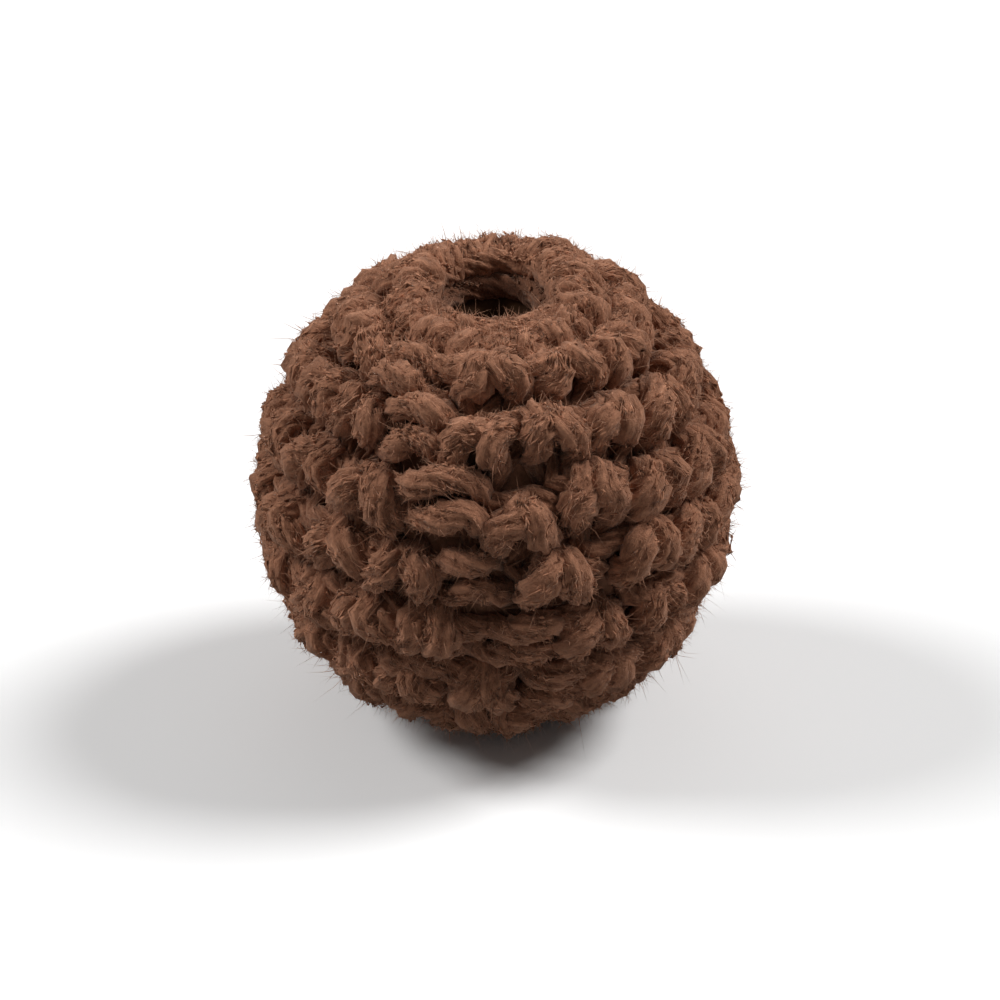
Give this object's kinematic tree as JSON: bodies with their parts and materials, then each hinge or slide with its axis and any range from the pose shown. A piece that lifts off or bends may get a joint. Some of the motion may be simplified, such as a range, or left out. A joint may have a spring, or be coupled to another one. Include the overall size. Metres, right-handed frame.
{
  "type": "crochet bead",
  "caption": "Round bead: a wooden ball with a string hole through it, wrapped in a single crochet yarn cover that is open at both ends of the hole.",
  "frame": {"origin": "centre of the ball, on the axis of its string hole", "axes": "+Z along the string hole, towards the end of the cover at which the work begins, where the two legs of each stitch meet"},
  "size_m": [0.0198, 0.02, 0.0194],
  "materials": {
    "wood": "turned and unvarnished",
    "yarn": "soft brown plied yarn, slightly hairy"
  },
  "bodies": {
    "root": {"core_ball": "wood", "crochet_cover": "yarn"}
  },
  "joints": []
}
